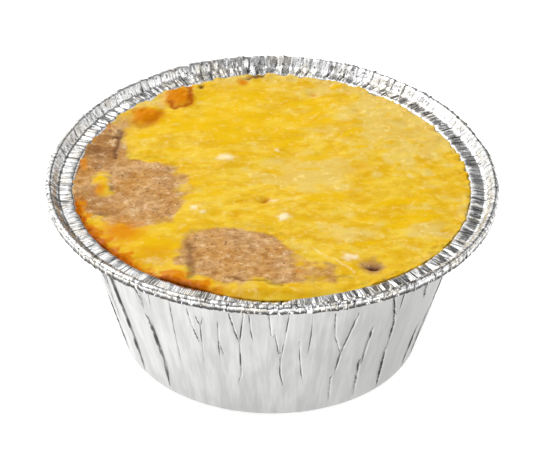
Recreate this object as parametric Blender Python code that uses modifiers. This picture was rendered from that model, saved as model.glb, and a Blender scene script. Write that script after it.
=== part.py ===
"""A round foil tray, filled with a brown baked dish under a yellow cheese topping.

Three solids: the crimped foil tray, the filling that rises through gaps in the topping, and the topping.
Everything is in metres, +Z up, with the origin on the floor under the middle of the tray.
"""
from math import atan2, cos, exp, hypot, pi, radians, sin, tan
import random

import bmesh
import bpy

# Driving dimensions of the tray
RIM_RADIUS = 0.0635
TRAY_HEIGHT = 0.0525
BASE_RADIUS = 0.0423
BASE_CORNER = 0.0029
WALL_TOP_RADIUS = 0.0560
FOIL = 0.0005

# The rim, as heights below its crest and radii
LEDGE_DROP = 0.0022
LEDGE_EDGE_RADIUS = 0.0603
LEDGE_CORNER = 0.0012
CREST_RADIUS = 0.0626
HEM_SHOULDER_DROP = 0.0009
HEM_DROP = 0.0022
HEM_RETURN = 0.0006

# How the soft tray is out of round and out of level at its rim
OVAL = 0.0012
EGG = 0.0005
TILT = 0.00036
SADDLE = 0.00025

# Pleats pressed into the rim, and folds that run down the wall from it
SEGMENTS = 120
PLEAT_HEIGHT = 0.00022
FOLD_SEGMENTS = 4
FOLD_HEIGHT = 0.00040
FOLD_LENGTHS = (0.012, 0.040)
FOLD_SEED = 11

# The food
CLEARANCE = 0.0003
FOOD_SEGMENTS = 60
FOOD_RINGS = 13
FOOD_EDGE_HEIGHT = 0.0484
FOOD_DOME = 0.0012
FRONT_RISE = 0.0022
TOPPING_THICKNESS = 0.0035
FILLING_SINK = 0.0005
OUTLINE_GAP = 0.0007
GRAIN_HEIGHT = 0.0004

# Lumps and hollows of the baked surface: x, y, spread and height
LUMPS = (
    (-0.0360, 0.0340, 0.0045, 0.0013),
    (-0.0270, 0.0440, 0.0042, 0.0014),
    (-0.0475, -0.0020, 0.0038, 0.0012),
    (-0.0127, 0.0101, 0.0035, 0.0006),
    (0.0031, -0.0201, 0.0026, 0.0010),
    (-0.0200, -0.0168, 0.0030, 0.0007),
    (0.0240, 0.0300, 0.0090, 0.0007),
    (0.0420, -0.0220, 0.0060, 0.0007),
    (-0.0360, -0.0330, 0.0080, 0.0006),
    (-0.0022, -0.0107, 0.0020, -0.0009),
    (0.0115, 0.0471, 0.0022, -0.0008),
    (0.0269, -0.0417, 0.0025, -0.0008),
    (0.0380, 0.0310, 0.0030, -0.0006),
    (-0.0280, 0.0040, 0.0060, -0.0006),
)

# Outlines of the gaps in the topping, where the filling shows
LEFT_GAP = (
    (-0.0600, 0.0250), (-0.0460, 0.0285), (-0.0425, 0.0215), (-0.0400, 0.0125),
    (-0.0310, 0.0110), (-0.0265, 0.0030), (-0.0252, -0.0080), (-0.0275, -0.0190),
    (-0.0355, -0.0232), (-0.0440, -0.0200), (-0.0530, -0.0150), (-0.0610, -0.0120),
)
FRONT_GAP = (
    (-0.0230, -0.0320), (-0.0190, -0.0255), (-0.0110, -0.0236), (0.0000, -0.0260),
    (0.0055, -0.0320), (0.0090, -0.0385), (0.0165, -0.0440), (0.0130, -0.0492),
    (0.0000, -0.0505), (-0.0110, -0.0498), (-0.0205, -0.0462),
)
SMALL_GAP = (
    (0.0240, -0.0415), (0.0268, -0.0392), (0.0296, -0.0418), (0.0272, -0.0448),
)
GAPS = {"left_gap": LEFT_GAP, "front_gap": FRONT_GAP, "small_gap": SMALL_GAP}

LEDGE_HEIGHT = TRAY_HEIGHT - LEDGE_DROP
TAPER_START_HEIGHT = BASE_CORNER
WALL_LEAN = atan2(WALL_TOP_RADIUS - BASE_RADIUS, LEDGE_HEIGHT - TAPER_START_HEIGHT)
LAYER_HEIGHT = FOOD_EDGE_HEIGHT - TOPPING_THICKNESS
SLAB_TOP = TRAY_HEIGHT + 0.010


def remove_everything():
    for item in list(bpy.data.objects):
        bpy.data.objects.remove(item, do_unlink=True)


def new_collection(name):
    collection = bpy.data.collections.new(name)
    bpy.context.scene.collection.children.link(collection)
    return collection


def new_material(name, colour, roughness, metallic):
    material = bpy.data.materials.new(name)
    material.use_nodes = True
    shader = material.node_tree.nodes["Principled BSDF"]
    shader.inputs["Base Color"].default_value = (*colour, 1.0)
    shader.inputs["Roughness"].default_value = roughness
    shader.inputs["Metallic"].default_value = metallic
    return material


def new_object(name, mesh, collection, material=None):
    item = bpy.data.objects.new(name, mesh)
    collection.objects.link(item)
    if material is not None:
        mesh.materials.append(material)
    return item


def evaluated_mesh(item):
    depsgraph = bpy.context.evaluated_depsgraph_get()
    return bpy.data.meshes.new_from_object(item.evaluated_get(depsgraph))


def turned_mesh(name, profile, steps, collection):
    """Turns a profile of (radius, height) points about the Z axis and gives the mesh."""
    line = bpy.data.meshes.new(name)
    points = [(radius, 0.0, height) for radius, height in profile]
    edges = [(index, index + 1) for index in range(len(points) - 1)]
    line.from_pydata(points, edges, [])
    item = new_object(name, line, collection)
    screw = item.modifiers.new("Turn", "SCREW")
    screw.steps = steps
    screw.render_steps = steps
    screw.use_merge_vertices = True
    screw.merge_threshold = 0.00001
    mesh = evaluated_mesh(item)
    bpy.data.objects.remove(item, do_unlink=True)
    return mesh


def arc(centre, radius, start, end, count):
    """Points of an arc in the (radius, height) plane, with angles from +radius towards +height."""
    points = []
    for index in range(count):
        angle = start + (end - start) * index / (count - 1)
        points.append((centre[0] + radius * cos(angle), centre[1] + radius * sin(angle)))
    return points


def wall_radius(height):
    """Outer radius of the tapered wall at a height."""
    return BASE_RADIUS + (height - TAPER_START_HEIGHT) * tan(WALL_LEAN)


def tray_profile():
    """The foil's middle line, from the centre of the base out to the end of the rolled hem."""
    half = FOIL / 2
    base_centre = (BASE_RADIUS - BASE_CORNER, BASE_CORNER)
    points = [(0.0, half), (BASE_RADIUS * 0.55, half)]
    points += arc(base_centre, BASE_CORNER - half, radians(-90), -WALL_LEAN, 4)

    ledge = LEDGE_HEIGHT - half
    corner_height = ledge - LEDGE_CORNER
    top_of_wall = corner_height + LEDGE_CORNER * sin(WALL_LEAN)
    corner_radius = wall_radius(top_of_wall) - half / cos(WALL_LEAN) + LEDGE_CORNER * cos(WALL_LEAN)
    for share in (0.22, 0.42, 0.62, 0.82):
        height = BASE_CORNER + share * (top_of_wall - BASE_CORNER)
        points.append((wall_radius(height) - half / cos(WALL_LEAN), height))
    points += arc((corner_radius, corner_height), LEDGE_CORNER, pi - WALL_LEAN, pi / 2, 3)

    points.append((LEDGE_EDGE_RADIUS, ledge))
    points.append((CREST_RADIUS - FOIL, TRAY_HEIGHT - FOIL))
    points.append((CREST_RADIUS, TRAY_HEIGHT - half))
    points.append((RIM_RADIUS - half, TRAY_HEIGHT - HEM_SHOULDER_DROP))
    points.append((RIM_RADIUS - half, TRAY_HEIGHT - HEM_DROP))
    points.append((RIM_RADIUS - half - HEM_RETURN, TRAY_HEIGHT - HEM_DROP - FOIL))
    return points


def out_of_round(angle):
    """How far the rim stands outside its true circle: an oval, a little egg-shaped."""
    return -OVAL * cos(2 * angle) - EGG * (sin(3 * angle) + sin(angle))


def out_of_level(angle):
    return TILT * sin(angle) - SADDLE * cos(2 * angle)


def settle(vertex):
    """Takes a vertex of a true turned shape to the soft tray's shape, which grows towards the rim."""
    radius = hypot(vertex.co.x, vertex.co.y)
    if radius < FOIL:
        return
    angle = atan2(vertex.co.y, vertex.co.x)
    share = max(0.0, vertex.co.z / TRAY_HEIGHT)
    reach = min(1.0, radius / BASE_RADIUS)
    new_radius = radius + share * reach * out_of_round(angle)
    vertex.co.x = new_radius * cos(angle)
    vertex.co.y = new_radius * sin(angle)
    vertex.co.z += share * reach * out_of_level(angle)


def fold_lengths():
    """The folds of the wall, as a length for each segment that has one, uneven like hand-pressed foil."""
    draw = random.Random(FOLD_SEED)
    lengths = {}
    for start in range(0, SEGMENTS, FOLD_SEGMENTS):
        segment = start + draw.randint(0, FOLD_SEGMENTS - 2)
        lengths[segment] = draw.uniform(*FOLD_LENGTHS)
    return lengths


def crimp(mesh):
    """Presses pleats into the rim and folds into the wall of the turned foil."""
    folds = fold_lengths()
    draw = random.Random(FOLD_SEED + 1)
    pleats = [draw.uniform(0.5, 1.0) * PLEAT_HEIGHT for _ in range(SEGMENTS)]
    ledge_start = WALL_TOP_RADIUS + LEDGE_CORNER
    for vertex in mesh.vertices:
        radius = hypot(vertex.co.x, vertex.co.y)
        if radius < FOIL:
            continue
        angle = atan2(vertex.co.y, vertex.co.x)
        segment = round(angle / (2 * pi) * SEGMENTS) % SEGMENTS
        pleat = pleats[segment] if segment % 2 else -pleats[segment]
        push = 0.0
        if radius > RIM_RADIUS - 2 * FOIL:
            push = pleat
        elif radius > ledge_start:
            vertex.co.z += pleat - PLEAT_HEIGHT
        elif radius > BASE_RADIUS and segment in folds:
            depth_below = LEDGE_HEIGHT - vertex.co.z
            fade = max(0.0, 1.0 - depth_below / folds[segment])
            push = FOLD_HEIGHT * fade
        vertex.co.x += push * cos(angle)
        vertex.co.y += push * sin(angle)
        settle(vertex)


def face_outwards(mesh):
    work = bmesh.new()
    work.from_mesh(mesh)
    bmesh.ops.recalc_face_normals(work, faces=work.faces)
    work.to_mesh(mesh)
    work.free()


def build_tray(collection):
    mesh = turned_mesh("tray", tray_profile(), SEGMENTS, collection)
    crimp(mesh)
    face_outwards(mesh)
    mesh.shade_smooth()
    foil = new_material("foil", (0.80, 0.80, 0.81), 0.25, 1.0)
    tray = new_object("tray", mesh, collection, foil)
    thickness = tray.modifiers.new("Foil", "SOLIDIFY")
    thickness.thickness = FOIL
    thickness.offset = 0.0
    thickness.use_even_offset = True
    return tray


def food_radius(height):
    """Radius of the food where it meets the wall, with the gap between them."""
    return wall_radius(height) - FOIL / cos(WALL_LEAN) - 1.4 * CLEARANCE


def surface_height(x, y):
    """Height of the baked surface: a low dome, higher at the front, with lumps and hollows."""
    edge_radius = food_radius(FOOD_EDGE_HEIGHT)
    reach = min(1.0, hypot(x, y) / edge_radius)
    height = FOOD_EDGE_HEIGHT + FOOD_DOME * (1.0 - reach ** 3)
    front = max(0.0, -y / edge_radius)
    height += FRONT_RISE * front ** 2 * exp(-(x / (0.5 * edge_radius)) ** 2)
    for lump_x, lump_y, spread, rise in LUMPS:
        height += rise * exp(-((x - lump_x) ** 2 + (y - lump_y) ** 2) / spread ** 2)
    return height


def food_profile(underside):
    """Closed half section of the food, from its underside to its top, both on the axis."""
    edge = food_radius(FOOD_EDGE_HEIGHT)
    points = [(0.0, underside), (food_radius(max(underside, BASE_CORNER)) - CLEARANCE, underside)]
    if underside < BASE_CORNER:
        flat = BASE_RADIUS - BASE_CORNER - CLEARANCE
        points = [(0.0, underside), (flat, underside), (food_radius(BASE_CORNER), BASE_CORNER + CLEARANCE)]
    points.append((edge, FOOD_EDGE_HEIGHT - CLEARANCE))
    for ring in range(FOOD_RINGS, -1, -1):
        points.append((edge * (ring / FOOD_RINGS) * 0.996, FOOD_EDGE_HEIGHT))
    return points


def food_block(name, underside, sink, collection):
    """The whole food from a height up to the baked surface, lowered by sink."""
    mesh = turned_mesh(name, food_profile(underside), FOOD_SEGMENTS, collection)
    for vertex in mesh.vertices:
        if vertex.co.z > FOOD_EDGE_HEIGHT - CLEARANCE / 2:
            vertex.co.z = surface_height(vertex.co.x, vertex.co.y) - sink
        settle(vertex)
    face_outwards(mesh)
    mesh.shade_smooth()
    return mesh


def outline_prism(name, outline, grow, collection):
    """An upright prism through the topping, on a smooth closed outline grown by a distance."""
    middle_x = sum(point[0] for point in outline) / len(outline)
    middle_y = sum(point[1] for point in outline) / len(outline)
    curve = bpy.data.curves.new(name, "CURVE")
    curve.dimensions = "2D"
    curve.fill_mode = "BOTH"
    curve.extrude = (SLAB_TOP - LAYER_HEIGHT) / 2 + 2 * CLEARANCE
    curve.resolution_u = 4
    spline = curve.splines.new("BEZIER")
    spline.bezier_points.add(len(outline) - 1)
    spline.use_cyclic_u = True
    for knot, (x, y) in zip(spline.bezier_points, outline):
        away = hypot(x - middle_x, y - middle_y)
        stretch = (away + grow) / away
        knot.co = (middle_x + (x - middle_x) * stretch, middle_y + (y - middle_y) * stretch, 0.0)
        knot.handle_left_type = "AUTO"
        knot.handle_right_type = "AUTO"
    guide = new_object(name + "_guide", curve, collection)
    guide.location.z = (SLAB_TOP + LAYER_HEIGHT) / 2
    bpy.context.view_layer.update()
    mesh = evaluated_mesh(guide)
    mesh.transform(guide.matrix_world)
    bpy.data.objects.remove(guide, do_unlink=True)
    work = bmesh.new()
    work.from_mesh(mesh)
    bmesh.ops.remove_doubles(work, verts=work.verts, dist=0.00001)
    bmesh.ops.recalc_face_normals(work, faces=work.faces)
    work.to_mesh(mesh)
    work.free()
    return as_cutter(new_object(name, mesh, collection))


def as_cutter(item):
    item.hide_render = True
    item.display_type = "WIRE"
    return item


def cut(item, cutter):
    boolean = item.modifiers.new("Cut " + cutter.name, "BOOLEAN")
    boolean.operation = "DIFFERENCE"
    boolean.solver = "EXACT"
    boolean.object = cutter


def build_topping(collection, cutters):
    cheese = new_material("cheese", (0.85, 0.56, 0.07), 0.45, 0.0)
    mesh = food_block("topping", LAYER_HEIGHT + CLEARANCE, 0.0, collection)
    topping = new_object("topping", mesh, collection, cheese)
    for name, outline in GAPS.items():
        cut(topping, outline_prism(name, outline, OUTLINE_GAP, cutters))
    return topping


def build_filling(collection, cutters):
    brown = new_material("filling", (0.55, 0.32, 0.13), 0.6, 0.0)
    mesh = food_block("filling", FOIL + CLEARANCE, FILLING_SINK, collection)
    for vertex in mesh.vertices:
        if vertex.co.z > LAYER_HEIGHT + CLEARANCE:
            grain = sin(vertex.co.x * 900) * sin(vertex.co.y * 1100)
            vertex.co.z += GRAIN_HEIGHT * (grain - 1.0)
    filling = new_object("filling", mesh, collection, brown)

    work = bmesh.new()
    bmesh.ops.create_cone(
        work, cap_ends=True, segments=FOOD_SEGMENTS, radius1=RIM_RADIUS, radius2=RIM_RADIUS,
        depth=SLAB_TOP - LAYER_HEIGHT)
    slab_mesh = bpy.data.meshes.new("topping_space")
    work.to_mesh(slab_mesh)
    work.free()
    slab = as_cutter(new_object("topping_space", slab_mesh, cutters))
    slab.location.z = (SLAB_TOP + LAYER_HEIGHT) / 2
    for name, outline in GAPS.items():
        cut(slab, outline_prism(name + "_post", outline, 0.0, cutters))
    cut(filling, slab)
    return filling


def main():
    remove_everything()
    collection = new_collection("foil_tray_meal")
    cutters = new_collection("cutters")
    build_tray(collection)
    build_filling(collection, cutters)
    build_topping(collection, cutters)


main()
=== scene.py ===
"""Looks of a foil tray meal: a crimped foil tray, a brown baked filling and a melted cheese topping.

Sizes are in millimetres, and become metres where a mesh is made. +Z is up, and the photo looks along +Y.
"""
from math import atan2, cos, pi, radians, sin, tan

import bmesh
import bpy
from mathutils import Matrix, Vector
import numpy as np


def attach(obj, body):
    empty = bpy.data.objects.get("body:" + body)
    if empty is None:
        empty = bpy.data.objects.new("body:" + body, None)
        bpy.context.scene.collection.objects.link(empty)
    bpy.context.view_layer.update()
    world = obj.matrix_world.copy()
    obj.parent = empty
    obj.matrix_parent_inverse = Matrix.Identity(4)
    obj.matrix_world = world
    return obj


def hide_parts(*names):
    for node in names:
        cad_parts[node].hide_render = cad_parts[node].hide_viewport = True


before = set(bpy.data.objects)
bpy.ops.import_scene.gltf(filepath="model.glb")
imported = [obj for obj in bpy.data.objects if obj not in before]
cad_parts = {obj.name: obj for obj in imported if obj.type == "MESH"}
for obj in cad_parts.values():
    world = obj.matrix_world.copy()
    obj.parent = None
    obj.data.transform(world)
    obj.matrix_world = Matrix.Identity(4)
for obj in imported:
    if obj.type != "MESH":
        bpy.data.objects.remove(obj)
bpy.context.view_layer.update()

MM = 0.001

# The tray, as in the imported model
RIM_RADIUS = 63.5
TRAY_HEIGHT = 52.5
BASE_RADIUS = 42.3
BASE_CORNER = 2.9
WALL_TOP_RADIUS = 56.0
LEDGE_DROP = 2.2
LEDGE_EDGE_RADIUS = 60.0
LEDGE_CORNER = 1.2
LEDGE_SLOPE = 0.25
CREST_RADIUS = 62.5
CREST_ROUNDING = 1.0
HEM_DROP = 2.3
HEM_RETURN = 0.9
OVAL = 1.2
EGG = 0.5
TILT = 0.36
SADDLE = 0.25
LEDGE_HEIGHT = TRAY_HEIGHT - LEDGE_DROP
WALL_LEAN = atan2(WALL_TOP_RADIUS - BASE_RADIUS, LEDGE_HEIGHT - BASE_CORNER)

# The foil's fine form
FOIL = 0.3
SEGMENTS = 1140
LAST_BASE_POINT = 4
WALL_ROWS = 34
PLEATS = 156
FINE_PLEATS = 350
PLEAT_HEIGHT = 0.60
CREASE_WIDTH = 0.50
DENT_DEPTH = 0.30

# The food
FOOD_RADIUS = 55.45
FOOD_EDGE_HEIGHT = 49.75
FOOD_DOME = 0.9
FRONT_RISE = 1.9
FRONT_BULGE = 2.2
FRONT_EDGE_DROP = 1.38
LEFT_FRINGE = 0.9
TOPPING_THICKNESS = 3.3
THINNEST = 0.04
LAYER_GAP = 0.02
EDGE_TAPER = 0.024
BODY_RINGS = ((52.0, 43.2), (39.0, 0.8))
FOOD_GRID = 240
GRAIN_DENSITY = 3.0e5
GRAIN_SPACING = 0.8
SMALLEST_GRAIN = 0.12
LARGEST_GRAIN = 0.26


class Wire:
    """A socket of a node tree. Sums written on it add Math nodes, so that formulas read as formulas."""

    def __init__(self, tree, socket):
        self.tree = tree
        self.socket = socket

    def __add__(self, other):
        return self.tree.maths("ADD", self, other)

    def __radd__(self, other):
        return self.tree.maths("ADD", other, self)

    def __sub__(self, other):
        return self.tree.maths("SUBTRACT", self, other)

    def __rsub__(self, other):
        return self.tree.maths("SUBTRACT", other, self)

    def __mul__(self, other):
        return self.tree.maths("MULTIPLY", self, other)

    def __rmul__(self, other):
        return self.tree.maths("MULTIPLY", other, self)

    def __truediv__(self, other):
        return self.tree.maths("DIVIDE", self, other)


class Tree:
    """A node tree, with one method that adds any node."""

    def __init__(self, nodes):
        self.nodes = nodes

    def add(self, kind, settings=None, sockets=None, output=0):
        """Adds a node: its settings first, then a value or a wire for each socket. Gives one output."""
        made = self.nodes.nodes.new(kind)
        for name, value in (settings or {}).items():
            setattr(made, name, value)
        for key, value in (sockets or {}).items():
            if isinstance(value, Wire):
                self.nodes.links.new(value.socket, made.inputs[key])
            else:
                made.inputs[key].default_value = value
        return Wire(self, made.outputs[output]) if made.outputs else made

    def maths(self, operation, *values):
        return self.add("ShaderNodeMath", {"operation": operation}, dict(enumerate(values)))

    def vector(self, operation, *values, output=0):
        return self.add("ShaderNodeVectorMath", {"operation": operation}, dict(enumerate(values)), output)

    def scaled(self, vector, factor):
        return self.add("ShaderNodeVectorMath", {"operation": "SCALE"}, {0: vector, 3: factor})

    def between(self, value, low, high):
        """0 below low, 1 above high, smooth between."""
        return self.add(
            "ShaderNodeMapRange", {"interpolation_type": "SMOOTHSTEP"},
            {0: value, 1: low, 2: high, 3: 0.0, 4: 1.0})

    def fading(self, value, low, high):
        """1 below low, 0 above high, smooth between."""
        return self.between(value * -1.0, -high, -low)

    def split(self, vector):
        made = self.nodes.nodes.new("ShaderNodeSeparateXYZ")
        self.nodes.links.new(vector.socket, made.inputs[0])
        return tuple(Wire(self, socket) for socket in made.outputs)

    def joined(self, x, y, z):
        return self.add("ShaderNodeCombineXYZ", None, {0: x, 1: y, 2: z})

    def noise(self, vector, scale, detail=2.0, roughness=0.5, output=0):
        return self.add(
            "ShaderNodeTexNoise", None,
            {"Vector": vector, "Scale": scale, "Detail": detail, "Roughness": roughness}, output)

    def patches(self, vector, scale, low, high, detail=2.0, roughness=0.5):
        """Soft patches of noise: 0 where it is below low, 1 where it is above high."""
        return self.between(self.noise(vector, scale, detail, roughness), low, high)

    def blend(self, factor, first, second):
        return self.add(
            "ShaderNodeMix", {"data_type": "RGBA", "clamp_factor": True},
            {0: factor, 6: first, 7: second}, 2)

    def tint(self, colour, mask, *screen_colour):
        """The colour, covered by a screen colour where the mask is 1."""
        return self.blend(mask, colour, linear(*screen_colour))

    def mark(self, name):
        """A value stored on the points of the mesh."""
        return self.add("ShaderNodeAttribute", {"attribute_name": name}, None, 2)


def geometry_tree(name, numbers):
    """A new Geometry Nodes tree with a geometry in and out, and an input for each named number."""
    group = bpy.data.node_groups.new(name, "GeometryNodeTree")
    group.interface.new_socket("Geometry", in_out="INPUT", socket_type="NodeSocketGeometry")
    group.interface.new_socket("Geometry", in_out="OUTPUT", socket_type="NodeSocketGeometry")
    for label, (kind, value) in numbers.items():
        socket = group.interface.new_socket(label, in_out="INPUT", socket_type="NodeSocket" + kind)
        if value is not None:
            socket.default_value = value
    tree = Tree(group)
    entry = group.nodes.new("NodeGroupInput")
    return tree, {socket.name: Wire(tree, socket) for socket in entry.outputs if socket.name}


def close_tree(tree, geometry, material):
    """Ends a tree in Realize Instances and Set Material."""
    real = tree.add("GeometryNodeRealizeInstances", None, {0: geometry})
    made = tree.add("GeometryNodeSetMaterial", None, {"Geometry": real, "Material": material})
    end = tree.nodes.nodes.new("NodeGroupOutput")
    tree.nodes.links.new(made.socket, end.inputs[0])


def grown(name, source, tree, values):
    """Runs a Geometry Nodes tree on a source object, and gives the result as a plain object."""
    modifier = source.modifiers.new(name, "NODES")
    group = tree.nodes
    modifier.node_group = group
    for socket in group.interface.items_tree:
        if socket.in_out == "INPUT" and socket.name in values:
            modifier[socket.identifier] = values[socket.name]
    depsgraph = bpy.context.evaluated_depsgraph_get()
    mesh = bpy.data.meshes.new_from_object(source.evaluated_get(depsgraph))
    source.modifiers.remove(modifier)
    return shown(name, mesh)


def shown(name, mesh):
    item = bpy.data.objects.new(name, mesh)
    bpy.context.scene.collection.objects.link(item)
    return item


def point_mesh(name, points, edges=(), faces=()):
    mesh = bpy.data.meshes.new(name)
    mesh.from_pydata([tuple(point) for point in points], list(edges), list(faces))
    mesh.update()
    return mesh


def set_values(mesh, name, values):
    attribute = mesh.attributes.new(name, "FLOAT", "POINT")
    attribute.data.foreach_set("value", np.asarray(values, np.float32))


def face_outwards(mesh):
    work = bmesh.new()
    work.from_mesh(mesh)
    bmesh.ops.recalc_face_normals(work, faces=work.faces)
    work.to_mesh(mesh)
    work.free()


def smooth_step(value, low, high):
    share = np.clip((value - low) / (high - low), 0.0, 1.0)
    return share * share * (3.0 - 2.0 * share)


def lattice_noise(x, y, seed):
    """Smooth noise between -1 and 1 with features one unit apart."""
    table = np.random.RandomState(seed).uniform(-1.0, 1.0, (256, 256))
    column = np.floor(x).astype(int)
    row = np.floor(y).astype(int)
    across = x - column
    along = y - row
    across = across * across * (3.0 - 2.0 * across)
    along = along * along * (3.0 - 2.0 * along)
    near = table[row % 256, column % 256] * (1 - across) + table[row % 256, (column + 1) % 256] * across
    far = (table[(row + 1) % 256, column % 256] * (1 - across)
           + table[(row + 1) % 256, (column + 1) % 256] * across)
    return near * (1 - along) + far * along


def wavy(x, y, size, seed, layers=2):
    """Noise with features of a size, and finer ones on top."""
    total = 0.0
    share = 1.0
    for layer in range(layers):
        turn = 0.7 + 1.3 * layer
        turned_x = (x * cos(turn) + y * sin(turn)) / size
        turned_y = (-x * sin(turn) + y * cos(turn)) / size
        total = total + share * lattice_noise(turned_x + 40.0, turned_y + 40.0, seed + layer)
        share *= 0.5
        size *= 0.5
    return total


def out_of_round(angle):
    return -OVAL * np.cos(2 * angle) - EGG * (np.sin(3 * angle) + np.sin(angle))


def out_of_level(angle):
    return TILT * np.sin(angle) - SADDLE * np.cos(2 * angle)


def wall_radius(height):
    return BASE_RADIUS + (height - BASE_CORNER) * tan(WALL_LEAN)


# The photographed creases of the wall: depth, then points of angle in degrees and height in millimetres
CREASES = (
    (1.20, ((214, 43), (214.5, 35), (215.5, 20.2), (215.6, 17.2), (215.5, 3.5))),
    (0.90, ((227.2, 43), (228.4, 38.7), (229, 33.2))),
    (0.50, ((232.9, 43), (232.3, 34.9))),
    (1.10, ((229.3, 31), (230.2, 25.6), (230.8, 14.8), (230.2, 3.9))),
    (0.45, ((240.3, 40.9), (239.6, 28), (239, 15))),
    (0.60, ((246, 40.4), (246.3, 34.9), (248.3, 26.5))),
    (0.80, ((248.4, 38), (249.3, 35.4))),
    (0.45, ((250.4, 38.4), (249.3, 35.4), (248.1, 19))),
    (0.65, ((254.8, 37.5), (254.3, 30.7), (254.1, 24))),
    (0.40, ((254.3, 30.7), (255.8, 23.5))),
    (0.80, ((258.5, 41.8), (259.7, 35), (260.9, 30.5))),
    (0.80, ((262.5, 42.5), (261.6, 36), (260.9, 30.5))),
    (0.80, ((260.9, 30.5), (260.7, 17.6), (259.3, 13.1))),
    (0.60, ((264.1, 41.9), (264.3, 37), (265, 31.7))),
    (0.80, ((269.6, 42.3), (270.3, 34.5), (271.4, 33.5))),
    (0.85, ((271.4, 34.5), (273.3, 23.5))),
    (0.60, ((275.1, 42), (274.4, 34.4), (273.3, 23.5))),
    (0.80, ((273.3, 23.5), (273.4, 18), (274.6, 13.9))),
    (0.60, ((278.7, 31.2), (279.2, 26), (280.4, 17.9), (281.6, 13.4))),
    (0.50, ((281.8, 41.5), (282.1, 34), (281.7, 25.3))),
    (0.80, ((288.5, 40.8), (289.6, 32), (292.7, 23.8))),
    (0.75, ((295.8, 39), (295.1, 35.4), (292.7, 23.8))),
    (0.80, ((292.7, 23.8), (292.1, 16))),
    (0.80, ((291, 15), (292.1, 4.8))),
    (0.75, ((302.6, 31), (302.3, 25.5), (302.2, 17.5))),
    (0.85, ((300.9, 18.5), (302.6, 4.2))),
    (0.75, ((306.5, 43.6), (309, 37), (311.2, 30), (312.3, 19))),
    (0.50, ((311.5, 42.5), (311.7, 34))),
    (0.80, ((311.7, 19.6), (314.3, 2.9))),
)
HIDDEN_CREASES = 44
HIDDEN_START = 322.0
HIDDEN_SWEEP = 245.0
CREASE_SEED = 5
CREASE_STEP = 0.4


def hidden_creases():
    """Creases for the side that the photo doesn't show, in the manner of the ones it does."""
    draw = np.random.RandomState(CREASE_SEED)
    found = []
    for number in range(HIDDEN_CREASES):
        angle = HIDDEN_START + HIDDEN_SWEEP * (number + draw.uniform(0.1, 0.9)) / HIDDEN_CREASES
        kind = draw.randint(0, 4)
        depth = draw.uniform(0.4, 1.0)
        if kind == 0:
            top, foot = draw.uniform(16, 22), draw.uniform(3, 5)
            path = ((angle, top), (angle + draw.uniform(0.5, 2), foot))
        elif kind == 1:
            knot = (angle + 2.2, draw.uniform(22, 32))
            found.append((depth, ((angle + 4.6, draw.uniform(38, 43)), knot)))
            path = ((angle, draw.uniform(39, 43)), knot, (knot[0] + draw.uniform(-1, 1), knot[1] - 9.0))
        else:
            top, foot = draw.uniform(38, 43), draw.uniform(20, 33)
            path = ((angle, top), (angle + draw.uniform(-0.5, 0.8), (top + foot) / 2), (angle + 1.0, foot))
        found.append((depth, path))
    return tuple(found)


def crease_lines():
    """One mesh of close points along every crease, each with the crease's depth, fading at its ends."""
    points = []
    depths = []
    for depth, path in CREASES + hidden_creases():
        run = []
        for (angle, height), (next_angle, next_height) in zip(path, path[1:]):
            count = max(2, int(abs(next_height - height) / CREASE_STEP))
            for step in range(count):
                share = step / count
                run.append((angle + share * (next_angle - angle), height + share * (next_height - height)))
        for place, (angle, height) in enumerate(run):
            turn = radians(angle)
            radius = wall_radius(height)
            points.append((radius * cos(turn) * MM, radius * sin(turn) * MM, height * MM))
            along = place / (len(run) - 1)
            depths.append(depth * min(1.0, 0.35 + 3.0 * (1.0 - along), 0.6 + 4.0 * along))
    mesh = point_mesh("crease_lines", points)
    set_values(mesh, "depth", depths)
    return shown("crease_lines", mesh)


def arc(centre, radius, start, end, count):
    turns = np.linspace(start, end, count)
    return [(centre[0] + radius * cos(turn), centre[1] + radius * sin(turn)) for turn in turns]


def straight(start, end, count):
    """Points from start up to, and not with, end."""
    return [(start[0] + (end[0] - start[0]) * step / count, start[1] + (end[1] - start[1]) * step / count)
            for step in range(count)]


def offset_line(line, distance):
    """The line moved to its left by a distance, as the other face of the foil."""
    moved = []
    for place, point in enumerate(line):
        before = np.array(line[max(0, place - 1)])
        after = np.array(line[min(len(line) - 1, place + 1)])
        along = (after - before) / np.linalg.norm(after - before)
        moved.append((point[0] - along[1] * distance, point[1] + along[0] * distance))
    return moved


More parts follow.
